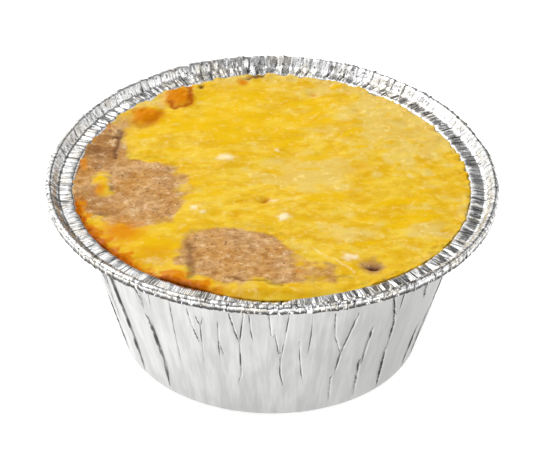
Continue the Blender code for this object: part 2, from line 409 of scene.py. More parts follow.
def tray_section():
    """The closed half section of the foil, from the centre of its base, out over the rim and back inside."""
    ledge = LEDGE_HEIGHT
    corner_height = ledge - LEDGE_CORNER
    top_of_wall = corner_height + LEDGE_CORNER * sin(WALL_LEAN)
    inner = FOIL / cos(WALL_LEAN)
    corner_radius = wall_radius(top_of_wall) - inner + LEDGE_CORNER * cos(WALL_LEAN)
    base_centre = (BASE_RADIUS - BASE_CORNER, BASE_CORNER)
    foot = arc(base_centre, BASE_CORNER, radians(-90), -WALL_LEAN, 6)
    wall_top = (wall_radius(top_of_wall - 0.4), top_of_wall - 0.4)
    outside = [(0.0, 0.0), (BASE_RADIUS * 0.5, 0.0)] + foot[:-1]
    outside += straight(foot[-1], wall_top, WALL_ROWS)

    top = arc((corner_radius, corner_height), LEDGE_CORNER, pi - WALL_LEAN, pi / 2, 6)
    ledge_start = (corner_radius + 0.5, ledge)
    ledge_end = (LEDGE_EDGE_RADIUS, ledge - LEDGE_SLOPE)
    top += straight(ledge_start, ledge_end, 5)
    crest = (CREST_RADIUS, TRAY_HEIGHT - CREST_ROUNDING)
    crest_arc = arc(crest, CREST_ROUNDING, radians(128), 0.0, 7)
    top += straight(ledge_end, crest_arc[0], 4)
    top += crest_arc
    top += straight((RIM_RADIUS, crest[1] - 0.4), (RIM_RADIUS - 0.05, TRAY_HEIGHT - HEM_DROP), 2)
    top += arc((RIM_RADIUS - 0.45, TRAY_HEIGHT - HEM_DROP), 0.4, 0.0, radians(-110), 4)
    under = offset_line(top, -FOIL)[::3]
    top.append((RIM_RADIUS - HEM_RETURN, TRAY_HEIGHT - HEM_DROP - 0.1))

    inside_foot = (BASE_RADIUS - inner - 1.2, BASE_CORNER + 0.3)
    inside = [(top[0][0] - tan(WALL_LEAN) * drop - thick, top[0][1] - drop)
              for drop, thick in ((1.2, 0.0), (3.0, 0.1), (6.0, 0.9))]
    inside += [inside_foot, (BASE_RADIUS - BASE_CORNER, FOIL), (0.0, FOIL)]
    return outside, under, top[::-1], inside


def section_object():
    """The section as a line of points, each with its share in the rim's parts and in the wall."""
    outside, under, over, inside = tray_section()
    section = outside + under + over + inside
    under_start = len(outside)
    inside_start = under_start + len(under) + len(over)
    shares = []
    for place, (radius, height) in enumerate(section):
        on_rim = float(under_start <= place < inside_start)
        corner = float(smooth_step(radius, WALL_TOP_RADIUS - 0.9, WALL_TOP_RADIUS + 0.2))
        ledge = float(smooth_step(radius, WALL_TOP_RADIUS + 0.2, WALL_TOP_RADIUS + 1.6))
        crest = float(smooth_step(radius, LEDGE_EDGE_RADIUS + 0.6, CREST_RADIUS))
        skirt = float(smooth_step(radius, CREST_RADIUS, RIM_RADIUS - 0.2))
        low = float(smooth_step(TRAY_HEIGHT - height, 1.0, 1.7))
        shares.append((
            on_rim * (0.5 * corner + 0.5 * ledge) * (1.0 - 0.45 * crest) * (1.0 + 0.8 * skirt),
            on_rim * max(skirt, 0.8 * corner * (1.0 - ledge)),
            float(LAST_BASE_POINT < place < under_start),
            on_rim * crest * float(height > TRAY_HEIGHT - CREST_ROUNDING - 0.2),
            on_rim * low * float(radius > CREST_RADIUS)))
    mesh = point_mesh("foil_section", [(radius * MM, 0.0, height * MM) for radius, height in section])
    for name, values in zip(("lift", "push", "wall", "crest", "hem"), zip(*shares)):
        set_values(mesh, name, values)
    return shown("foil_section", mesh), len(section)


def tray_tree(material):
    """Turns the section into the tray, with pleats on its rim and creases and dents on its wall."""
    tree, given = geometry_tree("foil_tray", {
        "Segments": ("Int", SEGMENTS),
        "Section Points": ("Int", 80),
        "Pleats": ("Float", PLEATS),
        "Fine Pleats": ("Float", FINE_PLEATS),
        "Pleat Height": ("Float", PLEAT_HEIGHT * MM),
        "Crease Lines": ("Object", None),
        "Crease Width": ("Float", CREASE_WIDTH * MM),
        "Dent Depth": ("Float", DENT_DEPTH * MM),
        "Oval": ("Float", OVAL * MM),
        "Egg": ("Float", EGG * MM),
        "Tilt": ("Float", TILT * MM),
        "Saddle": ("Float", SADDLE * MM),
        "Height": ("Float", TRAY_HEIGHT * MM),
        "Base Radius": ("Float", BASE_RADIUS * MM),
        "Seed": ("Int", 3),
    })
    grid = tree.add("GeometryNodeMeshGrid", None, {
        "Size X": 1.0, "Size Y": 1.0,
        "Vertices X": given["Segments"] + 1, "Vertices Y": given["Section Points"]})
    index = tree.add("GeometryNodeInputIndex")
    column = tree.maths("FLOOR", (index + 0.5) / given["Section Points"])
    row = index - column * given["Section Points"]
    turn = column / given["Segments"]
    angle = turn * (2 * pi)
    cosine = tree.maths("COSINE", angle)
    sine = tree.maths("SINE", angle)

    def named(name):
        return tree.add("GeometryNodeInputNamedAttribute", {"data_type": "FLOAT"}, {"Name": name})

    def sampled(geometry, place, value, kind="FLOAT"):
        return tree.add("GeometryNodeSampleIndex", {"data_type": kind, "domain": "POINT"}, {
            "Geometry": geometry, "Value": value, "Index": place})

    def section_value(name):
        return sampled(given["Geometry"], row, named(name))

    position = tree.add("GeometryNodeInputPosition")
    radius, _, height = tree.split(sampled(given["Geometry"], row, position, "FLOAT_VECTOR"))
    lift = section_value("lift")
    push = section_value("push")
    wall = section_value("wall")
    around = tree.joined(cosine, sine, 0.0)

    def pleats(count, wander, seed, lean):
        """Uneven flat pleats, each tilted its own way, and the narrow grooves between them."""
        drift = tree.noise(around, 9.0, 3.0) * wander + radius * lean
        phase = turn * count + drift
        number = tree.maths("FLOORED_MODULO", tree.maths("FLOOR", phase), count)
        share = tree.maths("FRACT", phase)

        def drawn(low, high, more):
            return tree.add("FunctionNodeRandomValue", {"data_type": "FLOAT"}, {
                2: low, 3: high, "ID": number, "Seed": given["Seed"] + (seed + more)}, 1)

        facet = (share - 0.5) * drawn(-1.0, 1.0, 0) + drawn(-0.18, 0.18, 1)
        groove = tree.maths("MAXIMUM", 1.0 - tree.maths("MINIMUM", share, 1.0 - share) / 0.17, 0.0)
        return facet, groove * drawn(0.15, 1.0, 2)

    broad, broad_groove = pleats(given["Pleats"], 3.0, 0, 60.0)
    fine, fine_groove = pleats(given["Fine Pleats"], 4.5, 20, -150.0)
    calm = 1.0 - 0.65 * tree.fading(sine, -0.75, -0.45) * tree.fading(cosine, 0.05, 0.35)
    ripple = broad * 1.0 + calm * (fine * 0.42 - fine_groove * 0.15) - broad_groove * 0.35
    hem = fine * 0.75 + broad * 0.4 - fine_groove * 0.35
    waver = tree.noise(around, 4.0, 4.0, 0.6) - 0.5
    # A mask of the grooves between the pleats, for the painted shade in them.
    pleat_line = tree.maths("MAXIMUM", broad_groove, fine_groove * 0.85 * calm)

    ideal = tree.joined(radius * cosine, radius * sine, height)
    lines = tree.add("GeometryNodeObjectInfo", None, {"Object": given["Crease Lines"]}, "Geometry")
    nearest = tree.add("GeometryNodeSampleNearest", {"domain": "POINT"}, {
        "Geometry": lines, "Sample Position": ideal})

    on_line = sampled(lines, nearest, position, "FLOAT_VECTOR")
    depth = sampled(lines, nearest, named("depth"))
    away = tree.vector("DISTANCE", ideal, on_line, output=1)
    line_x, line_y, _ = tree.split(on_line)
    sideways = line_x * sine - line_y * cosine
    side = tree.maths("SIGN", sideways * line_x)
    reach = given["Crease Width"] * (0.6 + 0.55 * depth)
    near = tree.maths("MAXIMUM", 1.0 - away / reach, 0.0)
    shelf = tree.maths("EXPONENT", away / reach * -0.28)
    upper_end = tree.fading(height, 45.0 * MM, 49.0 * MM)
    step = tree.maths("MINIMUM", depth, 1.1) * upper_end * (shelf * side * 0.34 - near * 0.28)

    stretched = tree.joined(radius * cosine, radius * sine, height * 0.35)
    upper = tree.between(height, 6.0 * MM, 40.0 * MM) * upper_end
    dents = (tree.noise(stretched, 95.0, 3.0, 0.55) - 0.5) * given["Dent Depth"] * 2.0 * upper
    flutes = (tree.noise(around, 26.0, 2.0, 0.5) - 0.5) * given["Dent Depth"] * 1.6 * upper * upper
    wall_push = wall * (step * (1.0 * MM) + dents + flutes)

    share = height / given["Height"] * tree.maths("MINIMUM", radius / given["Base Radius"], 1.0)
    double = angle * 2.0
    oval = tree.maths("COSINE", double) * given["Oval"] * -1.0
    egg = (tree.maths("SINE", angle * 3.0) + sine) * given["Egg"]
    level = sine * given["Tilt"] - tree.maths("COSINE", double) * given["Saddle"]
    out = radius + share * (oval - egg) + wall_push + push * (hem * given["Pleat Height"] + waver * 0.0007)
    pressed = 1.0 - 0.85 * tree.fading(sine, -0.965, -0.925) * tree.fading(radius, 57.4 * MM, 58.4 * MM)
    up = height + share * level + lift * pressed * (ripple * given["Pleat Height"] + waver * 0.0009)

    rim = tree.maths("MAXIMUM", lift, push)
    marked = grid
    for name, value in {
            "crease_offset": sideways / MM, "crease_away": away / MM,
            "crease_depth": depth * wall * upper_end, "rim": rim, "pleat_line": pleat_line * rim,
            "crest": section_value("crest"), "hem": section_value("hem")}.items():
        marked = tree.add("GeometryNodeStoreNamedAttribute", {"data_type": "FLOAT", "domain": "POINT"}, {
            "Geometry": marked, "Name": name, "Value": value})
    moved = tree.add("GeometryNodeSetPosition", None, {
        "Geometry": marked, "Position": tree.joined(out * cosine, out * sine, up)})
    merged = tree.add("GeometryNodeMergeByDistance", None, {"Geometry": moved, "Distance": 0.000002})
    smooth = tree.add("GeometryNodeSetShadeSmooth", None, {"Geometry": merged})
    close_tree(tree, smooth, material)
    return tree


def build_tray(material):
    section, count = section_object()
    lines = crease_lines()
    tree = tray_tree(material)
    tray = grown("foil_tray", section, tree, {"Section Points": count, "Crease Lines": lines})
    face_outwards(tray.data)
    bpy.data.objects.remove(section, do_unlink=True)
    bpy.data.objects.remove(lines, do_unlink=True)
    return tray


# Outlines of the gaps in the topping, where the filling shows, and the island of topping in the left one
LEFT_GAP = (
    (-60, 25), (-46, 28.5), (-42.5, 21.5), (-40, 12.5), (-31, 11), (-26.5, 3),
    (-25.2, -8), (-27.5, -19), (-35.5, -23.2), (-44, -20), (-53, -15), (-61, -12),
)
FRONT_GAP = (
    (-23, -32), (-19, -25.5), (-11, -23.6), (0, -26), (5.5, -32), (9, -38.5),
    (16.5, -44), (13, -49.2), (0, -50.5), (-11, -49.8), (-20.5, -46.2),
)
SMALL_GAP = ((24, -41.5), (26.8, -39.2), (29.6, -41.8), (27.2, -44.8))
ISLAND = (-47.3, -3.4, 4)

# Lumps and hollows of the baked surface: x, y, spread and height
LUMPS = (
    (-36, 34, 4.5, 1.5), (-27, 44, 4.2, 1.7), (-47.5, -2, 3.8, 0.9),
    (-12.7, 10.1, 3.5, 0.35), (3.1, -20.1, 2.6, 0.5), (-20, -16.8, 3, 0.7),
    (24, 30, 9, 0.7), (42, -22, 6, 0.7), (-36, -33, 8, 0.6),
    (1.5, 14.3, 2, 0.5), (-2.2, -10.7, 1.7, -1.2), (-9.7, -19, 1.3, -0.7),
    (11.5, 47.1, 1.8, -1), (26.9, -41.7, 2.5, -0.8), (38.3, 31.1, 1.6, -0.8),
    (24.6, 36.2, 1.4, -0.6), (28.7, 36.3, 1.4, -0.6), (44.7, 6, 1.6, -0.6),
    (-28, 4, 6, -0.5),
)


# The colours of the surface as soft spots: x, y, spread along x, spread along y, strength
STRONG_YELLOW = (
    (-8, 31, 26, 15, 1.25), (40, -11, 9, 8, 1), (-35, -31, 13, 8, 0.9), (-2, -52, 24, 3.5, 0.6),
    (-20, -3, 9, 7, 0.7), (22, -6, 12, 5, 0.6), (-47.3, -3, 2.2, 4.4, 1), (6, -33, 4, 3, 0.7),
    (15, 28, 12, 6, 0.7),
)
# Pale cheese, partly a painted broad highlight.
PALE_YELLOW_AND_HIGHLIGHTS = (
    (9, 3, 14, 9, 0.9), (36, 24, 17, 22, 0.85), (20, -27, 14, 8, 0.65), (43, -25, 8, 5, 0.7),
    (-35, 21, 6, 4, 0.55), (20, 50, 14, 5, 0.6), (30, 40, 12, 7, 0.75), (47, 20, 7, 16, 0.6),
    (52, -8, 3, 12, 0.6),
)
# Cream curds, partly painted highlights.
CREAM_CURDS_AND_HIGHLIGHTS = (
    (-13, 9.9, 3, 1.5, 0.9), (1.4, 13.8, 1.5, 1, 0.8), (-21.1, -15.8, 1.3, 1.3, 0.8),
    (-19.2, -18.2, 1.6, 1, 0.8), (3.2, -20.8, 1.9, 2.2, 1.2), (-37.4, -16.3, 1.6, 1.6, 0.5),
    (0.8, -11.4, 2.4, 1.2, 0.6), (21, -38.4, 2.6, 2, 0.9), (38.5, 3, 1.2, 1.2, 0.5),
    (34, 3, 1, 1, 0.5), (6.5, -16, 2, 1, 0.4), (-31, -40.5, 5, 1.4, 0.45),
)
ORANGE_CRUST = (
    (-36, 32.4, 5, 4.8, 1.15), (-27.4, 43, 4, 4.4, 1.3), (-25, 49.5, 1.8, 3.4, 1.1),
    (-9, 52.2, 2, 2.6, 0.8), (-47, 27, 3, 3, 0.5), (-52.2, 8, 1.8, 5, 0.7), (-52.8, -16, 2.4, 5, 1.1),
    (-47.3, -6.5, 2.2, 3.5, 0.7), (10, 36, 9, 3, 0.15), (-40, -27, 8, 8, 0.74), (-31, -37, 9, 5, 0.5),
    (11.5, 47.1, 1.6, 1.2, 0.55), (24.6, 36.2, 1.2, 1.6, 0.3), (44.7, 6, 1.6, 0.9, 0.35),
    (-9.7, -19, 1.4, 1, 0.5), (7.9, -33, 1.6, 1.6, 0.35), (7.3, -46.2, 1.6, 1.4, 0.5),
    (4.4, -35.3, 1.3, 1.1, 0.4), (8, -41, 9, 4, 0.28),
)
# Charred spots, and painted shadow at the island's right side.
CHAR_AND_SHADOW_SPOTS = (
    (-44.1, 22.3, 1.8, 0.9, 0.95), (-21, 49.9, 0.8, 1.2, 1), (26.9, -41.9, 1.9, 1.1, 1.5),
    (-44, -5.6, 0.8, 1.4, 0.6), (-48.5, 6.5, 1, 1.2, 0.45),
)
THIN_TOPPING = (
    (26.9, -43, 3.2, 3.6, 0.75), (12, -44.5, 8, 3.5, 0.5), (-42.5, 28.5, 3.8, 4.2, 0.72),
    (-32.5, 39.5, 2.6, 2.6, 0.5),
)
THICK_TOPPING = ((5.5, -29.5, 5, 4.5, 1), (-2, -25.5, 8, 3, 0.8))
# Darker filling, and painted shadow below the island.
DARK_FILLING_AND_SHADOW = (
    (-48.5, 16, 6, 10, 0.95), (-50, -12.5, 4.5, 7, 0.7), (-46, -17.6, 4.5, 1.8, 0.9),
    (-3, -38, 9, 12, 0.05),
)
CRUMBLY_LUMPS = ((-36.5, 33.5, 4.5, 5, 1), (-27, 43.5, 4, 4.5, 1))

# Thin lines of the surface: points of x and y, then width and strength
CREAM_STRANDS = (
    (((9, -26), (10.8, -34), (13.5, -37.8), (16.9, -39.6), (20.8, -43.2), (22.6, -46.9)), 0.6, 0.55),
    (((8, -30), (15, -33), (20, -36)), 0.6, 0.45),
    (((41, -24), (44, -25.5), (48, -24)), 0.7, 0.5),
)
CRUST_EDGES = (
    (((-30.4, 41), (-29.1, 39.6), (-27.7, 37.8), (-25.2, 38.2), (-23.9, 40.7), (-23.5, 43.8),
      (-24.4, 48.3)), 0.75, 1),
    (((-31.8, 37), (-33.4, 31.8), (-35.8, 27.6), (-38.2, 27), (-39.6, 29)), 1.1, 0.5),
    (((-21.1, -51.3), (-14.5, -53.6), (-8, -54.8), (5, -54.9), (19.1, -53.9)), 0.5, 0.12),
    (((-2.6, -11.6), (-1.6, -10.4)), 1, 0.7),
)
# Painted shadow: dark lines where the topping steps down at the gaps' borders, and at the back edge; they
# also sink the surface a little.
CRACK_SHADOW_LINES = (
    (((-43.3, 25), (-43.3, 20), (-43.7, 16), (-44.1, 11)), 0.6, 0.7),
    (((-21.9, -33), (-21.4, -42), (-20.9, -48.8)), 1.1, 0.5),
    (((-12.3, -48.8), (-6.8, -50.5), (-1, -51.8), (3, -52.2)), 0.5, 0.5),
    (((-7.5, 54.8), (-3, 55.4)), 0.9, 0.9),
    (((17.1, -48.5), (19.5, -46.9), (21.5, -47.4)), 0.5, 0.35),
)
FURROW = ((((-12.8, -14.1), (-8, -12.2), (-2.2, -10.9)), 0.6, 1),)


def spot(x, y, middle_x, middle_y, spread_x, spread_y):
    """A soft oval spot, 1 at its middle."""
    return np.exp(-((x - middle_x) / spread_x) ** 2 - ((y - middle_y) / spread_y) ** 2)


def spots(x, y, rows):
    """The strongest of several soft spots at each place."""
    total = np.zeros(x.shape)
    for *oval, strength in rows:
        total = np.maximum(total, strength * spot(x, y, *oval))
    return total


def path_distance(x, y, path):
    best = np.full(x.shape, 1e9)
    for (ax, ay), (bx, by) in zip(path, path[1:]):
        run_x, run_y = bx - ax, by - ay
        share = np.clip(((x - ax) * run_x + (y - ay) * run_y) / (run_x ** 2 + run_y ** 2), 0.0, 1.0)
        best = np.minimum(best, np.hypot(x - ax - share * run_x, y - ay - share * run_y))
    return best


def lines(x, y, rows):
    """The strongest of several soft, slightly wandering lines at each place."""
    wander_x = x + 0.55 * wavy(x, y, 2.0, 91)
    wander_y = y + 0.55 * wavy(x, y, 2.0, 93)
    total = np.zeros(x.shape)
    for path, width, strength in rows:
        away = path_distance(wander_x, wander_y, path)
        total = np.maximum(total, strength * np.exp(-(away / width) ** 2))
    return total


def streaky(x, y, size, seed):
    """Noise drawn out sideways, as melted cheese runs."""
    return wavy(0.45 * x + 0.04 * y, y - 0.12 * x, size, seed, 3)


def inside_distance(x, y, outline):
    """Distance to an outline, positive inside it."""
    closed = outline + outline[:1]
    inside = np.zeros(x.shape, bool)
    for (ax, ay), (bx, by) in zip(closed, closed[1:]):
        crosses = (ay > y) != (by > y)
        inside ^= crosses & (x < (bx - ax) * (y - ay) / (by - ay if by != ay else 1e-9) + ax)
    distance = path_distance(x, y, closed)
    return np.where(inside, distance, -distance)


def rounded(outline, steps=5):
    """The outline with a smooth curve through its points."""
    points = []
    count = len(outline)
    for place in range(count):
        before, start, end, after = (np.array(outline[(place + k) % count]) for k in (-1, 0, 1, 2))
        for step in range(steps):
            t = step / steps
            bend = 2 * before - 5 * start + 4 * end - after
            twist = 3 * start - before - 3 * end + after
            point = 0.5 * (2 * start + (end - before) * t + bend * t ** 2 + twist * t ** 3)
            points.append((float(point[0]), float(point[1])))
    return tuple(points)


def gap_depth(x, y):
    """How far a place is inside a gap of the topping, in millimetres, with a ragged edge."""
    ragged_x = x + 1.1 * wavy(x, y, 5.0, 21) + 0.5 * wavy(x, y, 1.6, 22)
    ragged_y = y + 1.1 * wavy(x, y, 5.0, 23) + 0.5 * wavy(x, y, 1.6, 24)
    depth = np.full(x.shape, -1e9)
    for outline in (LEFT_GAP, FRONT_GAP, SMALL_GAP):
        depth = np.maximum(depth, inside_distance(ragged_x, ragged_y, rounded(outline)))
    island = ISLAND[2] - np.hypot((ragged_x - ISLAND[0]) / 0.85, (ragged_y - ISLAND[1]) / 1.5)
    return np.minimum(depth, -island)


def disc_points(count):
    """A square grid of points drawn into the food's round: x, y, the share of the radius and the angle."""
    steps = np.linspace(-1.0, 1.0, count)
    across, along = np.meshgrid(steps, steps)
    unit_x = across * np.sqrt(1.0 - along ** 2 / 2.0)
    unit_y = along * np.sqrt(1.0 - across ** 2 / 2.0)
    angle = np.arctan2(unit_y, unit_x)
    share = np.hypot(unit_x, unit_y)
    reach = FOOD_RADIUS + FOOD_EDGE_HEIGHT / TRAY_HEIGHT * out_of_round(angle)
    return unit_x * reach, unit_y * reach, share, angle


def base_height(x, y, share, angle):
    """The food's surface without its fine relief."""
    height = FOOD_EDGE_HEIGHT + FOOD_DOME * (1.0 - share ** 3) + out_of_level(angle) * share
    front = np.clip(-y / FOOD_RADIUS, 0.0, 1.0)
    height = height + FRONT_RISE * front ** 2 * np.exp(-(x / 27.0) ** 2)
    for lump_x, lump_y, spread, rise in LUMPS:
        height = height + rise * spot(x, y, lump_x, lump_y, spread, spread)
    return height


def topping_relief(x, y, share):
    relief = 0.40 * wavy(x, y, 13.0, 31) + 0.16 * wavy(x, y, 5.0, 33) + 0.09 * streaky(x, y, 2.2, 35)
    relief = relief + 0.30 * streaky(x, y, 1.4, 37) * spot(x, y, -19.0, 5.0, 11.0, 8.0)
    strands = wavy((x + y) * 0.9, (x - y) * 0.25, 2.0, 39)
    relief = relief + 0.35 * strands * spot(x, y, 17.0, -35.0, 9.0, 9.0)
    curds = np.abs(wavy(x, y, 3.4, 41))
    relief = relief + 0.35 * curds * spot(x, y, 36.0, 20.0, 20.0, 26.0)
    front = smooth_step(-y, 30.0, 48.0) * np.exp(-((x - 4.0) / 26.0) ** 4)
    edge = smooth_step(share, 0.90, 1.0) * (1.0 - 0.85 * front)
    relief = relief + edge * (0.34 * wavy(x, y, 2.6, 43) + 0.25 * wavy(x, y, 1.2, 45))
    crumbs = 0.45 * wavy(x, y, 2.2, 47) + 0.2 * wavy(x, y, 1.0, 49)
    return relief + crumbs * spots(x, y, CRUMBLY_LUMPS) - 0.5 * lines(x, y, FURROW)


def filling_relief(x, y):
    relief = 0.30 * wavy(x, y, 6.0, 51) + 0.16 * wavy(x, y, 1.7, 53) + 0.08 * wavy(x, y, 0.9, 55)
    return relief + 0.20 * np.abs(streaky(x, y, 1.6, 57))


def food_marks(x, y, share, angle, depth):
    """Where each colour of the surface lies, from 0 to 1."""
    degrees = np.degrees(angle) % 360.0
    grain = wavy(x, y, 2.2, 61)
    streaks = streaky(x, y, 3.0, 63)
    curds = wavy(x, y, 4.0, 65)
    front_left = smooth_step(degrees, 187.0, 195.0) * smooth_step(-degrees, -268.0, -246.0)
    front = smooth_step(degrees, 240.0, 255.0) * smooth_step(-degrees, -312.0, -280.0)
    curdled = smooth_step(x, 20.0, 33.0) * smooth_step(y, -10.0, 5.0)

    strong = spots(x, y, STRONG_YELLOW) + 0.75 * streaks * (1.0 - 0.7 * curdled) + 0.2 * grain - 0.12
    strong = strong + curdled * (0.7 * smooth_step(wavy(x, y, 2.8, 75), 0.2, 1.0) - 0.35)
    pale = spots(x, y, PALE_YELLOW_AND_HIGHLIGHTS) + (0.35 + 0.25 * curdled) * curds
    pale = pale - 0.30 * streaks * (1.0 - curdled) + 0.15 * grain
    pale = pale + 0.7 * smooth_step(share + 0.03 * grain, 0.90, 0.97) * smooth_step(y, 5.0, 30.0)

    cream = spots(x + 0.7 * wavy(x, y, 1.8, 71), y + 0.7 * wavy(x, y, 1.8, 73), CREAM_CURDS_AND_HIGHLIGHTS)
    broken = np.clip(0.45 + 1.1 * wavy(x, y, 2.4, 77), 0.0, 1.0)
    cream = np.maximum(cream, broken * lines(x, y, CREAM_STRANDS))
    pulled = smooth_step(streaky(x, y, 1.5, 67), 0.1, 0.9)
    cream = np.maximum(cream, 0.8 * spot(x, y, -21.0, 4.0, 9.0, 7.0) * pulled)

    band = smooth_step(share + 0.022 * grain, 0.905, 0.975)
    contact = smooth_step(share + 0.006 * grain, 0.968, 0.992)
    orange = band * (front_left + 0.2 * front) * (0.80 + 0.45 * grain)
    orange = np.maximum(orange, spots(x, y, ORANGE_CRUST))
    crust = np.maximum(contact * front_left * 0.9, lines(x, y, CRUST_EDGES))
    # Real charred spots, and painted shadow along the crack lines and beside the island.
    char_and_shade = np.maximum(spots(x, y, CHAR_AND_SHADOW_SPOTS), lines(x, y, CRACK_SHADOW_LINES))

    brown = depth - 2.6 * spot(x, y, -6.0, -23.5, 15.0, 3.0) - 5.0 * spot(x, y, -32.5, 12.0, 6.5, 3.6)
    brown = brown - 5.0 * spots(x, y, THICK_TOPPING)
    brown = smooth_step(brown + 0.6 * grain + 1.2 * curds + 0.8 * streaks, -4.2, 2.2)
    brown = np.maximum(brown, spots(x, y, THIN_TOPPING))
    brown = brown - 0.75 * spot(x, y, 10.5, -40.5, 8.0, 7.0) * (0.75 + 0.5 * grain)
    found = {
        "strong": strong, "pale": pale, "cream": cream, "orange": orange, "crust": crust, "char_and_shade": char_and_shade,
        "brown": brown, "dark": spots(x, y, DARK_FILLING_AND_SHADOW) + 0.1 * grain,
        "open": smooth_step(depth, -0.2, 0.8) * brown}
    return {name: np.clip(values, 0.0, 1.0) for name, values in found.items()}


class Food:
    """The food's surface on a grid: its height, its marks, and how thick the topping is on it."""

    def __init__(self):
        self.x, self.y, self.share, self.angle = disc_points(FOOD_GRID)
        self.depth = gap_depth(self.x, self.y)
        self.marks = food_marks(self.x, self.y, self.share, self.angle, self.depth)
        open_filling = smooth_step(self.depth, -2.4, 1.2)
        relief = (topping_relief(self.x, self.y, self.share) * (1.0 - open_filling)
                  + filling_relief(self.x, self.y) * open_filling)
        self.height = base_height(self.x, self.y, self.share, self.angle) + relief
        self.height -= 0.30 * open_filling + 0.45 * self.marks["char_and_shade"] - 0.25 * self.marks["cream"]
        self.height -= 0.25 * self.marks["crust"]
        self.full_thickness = THINNEST + TOPPING_THICKNESS * smooth_step(-self.depth, 0.1, 2.6)
        front = smooth_step(-self.y, 0.0, 20.0) * np.exp(-((self.x - 4.0) / 18.0) ** 4)
        front = front * (1.0 + 0.12 * wavy(self.x, self.y, 6.0, 81))
        degrees = np.degrees(self.angle) % 360.0
        left = smooth_step(degrees, 140.0, 155.0) * smooth_step(-degrees, -222.0, -205.0)
        left = (0.62 + 0.38 * left) * (1.0 - np.clip(front, 0.0, 1.0))
        left = left * np.clip(0.35 + 0.9 * wavy(self.x, self.y, 1.7, 83), 0.0, 1.0)
        reach = FRONT_BULGE * front + LEFT_FRINGE * left
        self.bulge = 1.0 + reach / FOOD_RADIUS * smooth_step(self.share, 0.9, 1.0)
        self.height += 0.7 * left * smooth_step(self.share, 0.93, 0.985)
        self.height -= FRONT_EDGE_DROP * front * smooth_step(self.share, 0.955, 1.0)
        lip = np.clip(front, 0.0, 1.0) * smooth_step(self.share, 0.955, 0.975)
        self.thickness = self.full_thickness * (1.0 - lip) + 0.22 * lip
        self.sink = 0.06 * smooth_step(self.depth, -0.25, 0.15)

    def lowered(self, drop):
        """The surface lowered, and drawn in at the tray's wall by as much as the wall leans."""
        lowered_share = np.clip(drop / TOPPING_THICKNESS, 0.0, 1.0)
        sideways = 1.0 + (self.bulge - 1.0) * (1.0 - lowered_share)
        sideways = sideways - EDGE_TAPER * self.share ** 2 * lowered_share
        return np.stack([self.x * sideways, self.y * sideways, self.height - drop], -1).reshape(-1, 3)


def grid_quads(count):
    corner = np.arange(count * count).reshape(count, count)
    return np.stack([corner[:-1, :-1], corner[:-1, 1:], corner[1:, 1:], corner[1:, :-1]], -1)


def finish_food(name, points, faces, places, food, material):
    mesh = point_mesh(name, points * MM, faces=faces)
    inside = places < 0
    for label, values in food.marks.items():
        found = values.reshape(-1)[places]
        set_values(mesh, label, np.where(inside, 1.0 if label == "brown" else 0.0, found))
    face_outwards(mesh)
    mesh.shade_smooth()
    mesh.materials.append(material)
    return shown(name, mesh)


def build_topping(food, material):
    """The topping, a closed layer that thins out at the edges of its gaps."""
    covered = food.depth < 0.25
    cells = covered[:-1, :-1] | covered[1:, 1:] | covered[:-1, 1:] | covered[1:, :-1]
    for _ in range(4):
        a, b, c, d = cells[:-1, :-1], cells[:-1, 1:], cells[1:, :-1], cells[1:, 1:]
        crossed = (a & d & ~b & ~c) | (b & c & ~a & ~d)
        for block in (a, b, c, d):
            block |= crossed
    quads = grid_quads(FOOD_GRID)[cells]
    size = FOOD_GRID * FOOD_GRID
    faces = [quads, quads[:, ::-1] + size]
    padded = np.pad(cells, 1)
    for near, (start, end) in (
            (padded[:-2, 1:-1], (0, 1)), (padded[1:-1, 2:], (1, 2)),
            (padded[2:, 1:-1], (2, 3)), (padded[1:-1, :-2], (3, 0))):
        border = quads[(cells & ~near)[cells]]
        first, second = border[:, end], border[:, start]
        faces.append(np.stack([first, second, second + size, first + size], -1))
    faces = np.concatenate(faces)
    points = np.concatenate([food.lowered(food.sink), food.lowered(food.sink + food.thickness)])
    used = np.unique(faces)
    number = np.full(len(points), -1)
    number[used] = np.arange(len(used))
    return finish_food("cheese_topping", points[used], number[faces].tolist(), used % size, food, material)


def build_filling(food, material):
    """The filling, a closed body down to the tray's base, that rises through the gaps of the topping."""
    drop = (food.full_thickness + LAYER_GAP) * (1.0 - smooth_step(food.depth, -0.15, 0.15))
    points = food.lowered(drop)
    size = len(points)
    corner = np.arange(size).reshape(food.depth.shape)
    ring = np.concatenate([corner[0, :-1], corner[:-1, -1], corner[-1, :0:-1], corner[:0:-1, 0]])
    faces = [grid_quads(FOOD_GRID).reshape(-1, 4)]
    turn = food.angle.reshape(-1)[ring]
    blocks = [points]
    for level, (radius, height) in enumerate(BODY_RINGS):
        reach = radius + height / TRAY_HEIGHT * out_of_round(turn)
        level_height = np.full(turn.shape, height)
        blocks.append(np.stack([reach * np.cos(turn), reach * np.sin(turn), level_height], -1))
        lower = size + level * len(ring) + np.arange(len(ring))
        faces.append(np.stack([ring, lower, np.roll(lower, -1), np.roll(ring, -1)], -1))
        ring = lower
    blocks.append([[0.0, 0.0, BODY_RINGS[-1][1]]])
    points = np.concatenate(blocks)
    base = [(int(b), int(a), len(points) - 1) for a, b in zip(ring, np.roll(ring, -1))]
    faces = np.concatenate(faces).tolist() + base
    places = np.where(np.arange(len(points)) < size, np.arange(len(points)), -1)
    return finish_food("baked_filling", points, faces, places, food, material)


